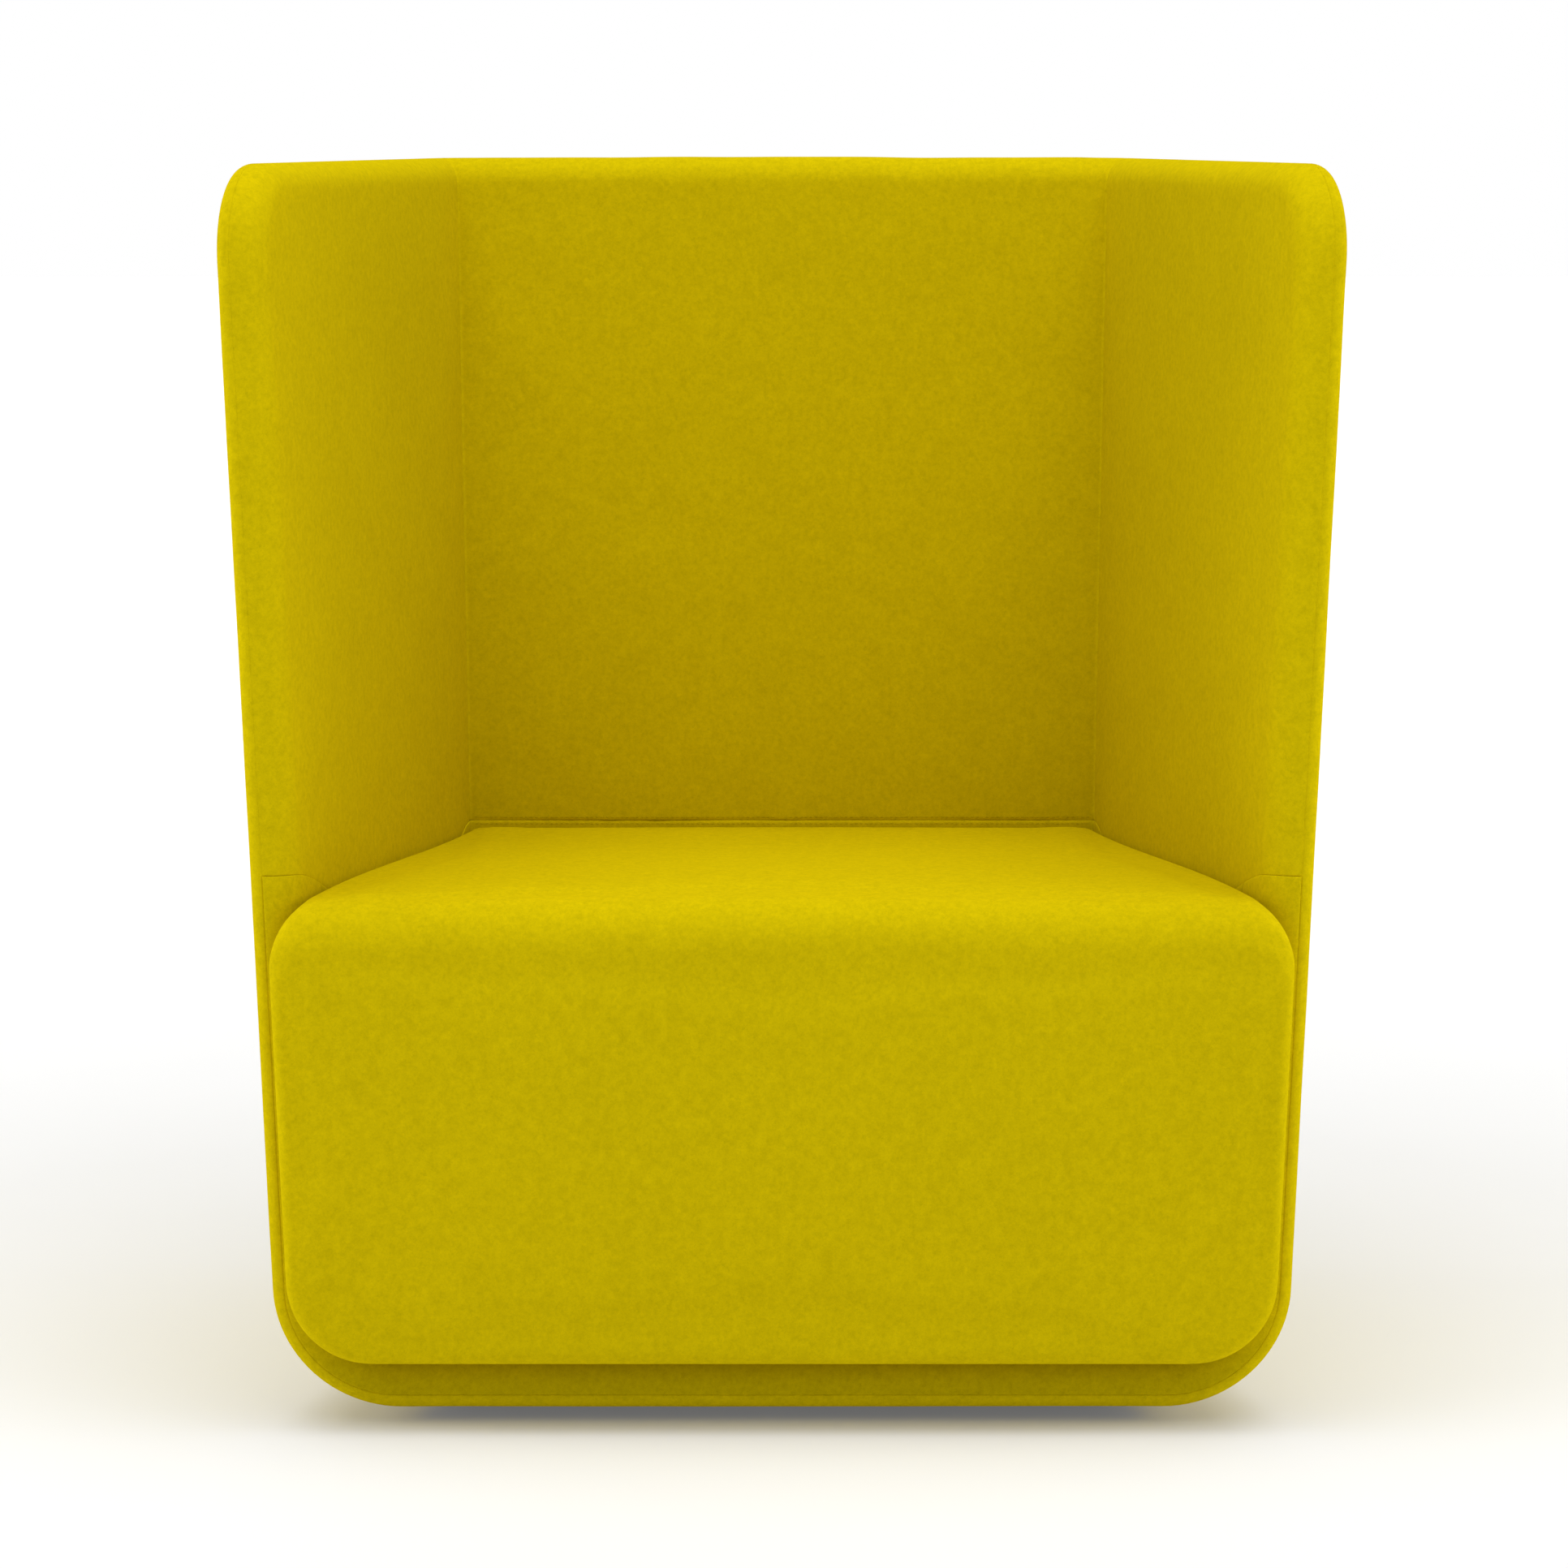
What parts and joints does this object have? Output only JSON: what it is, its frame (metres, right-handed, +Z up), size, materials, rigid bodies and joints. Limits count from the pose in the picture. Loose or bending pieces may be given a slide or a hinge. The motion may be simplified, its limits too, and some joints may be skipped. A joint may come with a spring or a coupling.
{
  "type": "lounge chair",
  "caption": "High-backed upholstered lounge chair: a felt-covered tub with splayed wings and a deep padded seat block, standing on low glides.",
  "frame": {"origin": "on the floor, under the middle of the chair's overall width and depth", "axes": "+Z up, the chair faces -Y, +X to the right of a viewer who looks at its front"},
  "size_m": [0.9044, 0.71, 1.03],
  "materials": {
    "wool_felt": "milled wool felt with a soft nap",
    "foam": "open-cell foam",
    "wadding": "needled fibre",
    "plywood": "raw plywood",
    "timber": "planed softwood",
    "hardboard": "pressed board",
    "spring_steel": "oiled wire",
    "zinc_steel": "zinc plated",
    "glide_plastic": "moulded",
    "dust_cloth": "spun-bonded cloth"
  },
  "bodies": {
    "root": {"inner_cover": "wool_felt", "lower_facing": "wool_felt", "outer_cover": "wool_felt", "seat_cover": "wool_felt", "seat_foam": "foam", "seat_front_pad": "foam", "seat_left_pad": "foam", "seat_right_pad": "foam", "back_pad": "foam", "left_wing_pad": "foam", "right_wing_pad": "foam", "left_corner_pad": "foam", "right_corner_pad": "foam", "base_front_pad": "foam", "outer_back_wadding": "wadding", "base_rear_pad": "wadding", "spring_felt": "wadding", "left_wing_board": "plywood", "right_wing_board": "plywood", "inner_back_board": "plywood", "left_bent_corner": "plywood", "right_bent_corner": "plywood", "seat_front_board": "plywood", "seat_rear_board": "plywood", "seat_left_board": "plywood", "seat_right_board": "plywood", "rear_base_board": "plywood", "front_base_rail": "timber", "left_rear_post": "timber", "right_rear_post": "timber", "top_back_rail": "timber", "seat_bolt_blocks": "timber", "frame_dowels": "timber", "outer_back_panel": "hardboard", "seat_springs": "spring_steel", "spring_clips": "zinc_steel", "frame_screws": "zinc_steel", "seat_box_screws": "zinc_steel", "seat_bolts": "zinc_steel", "bolt_washers": "zinc_steel", "tee_nuts": "zinc_steel", "dust_cover_staples": "zinc_steel", "glide_screws": "zinc_steel", "glides": "glide_plastic", "dust_cover": "dust_cloth"}
  },
  "joints": []
}
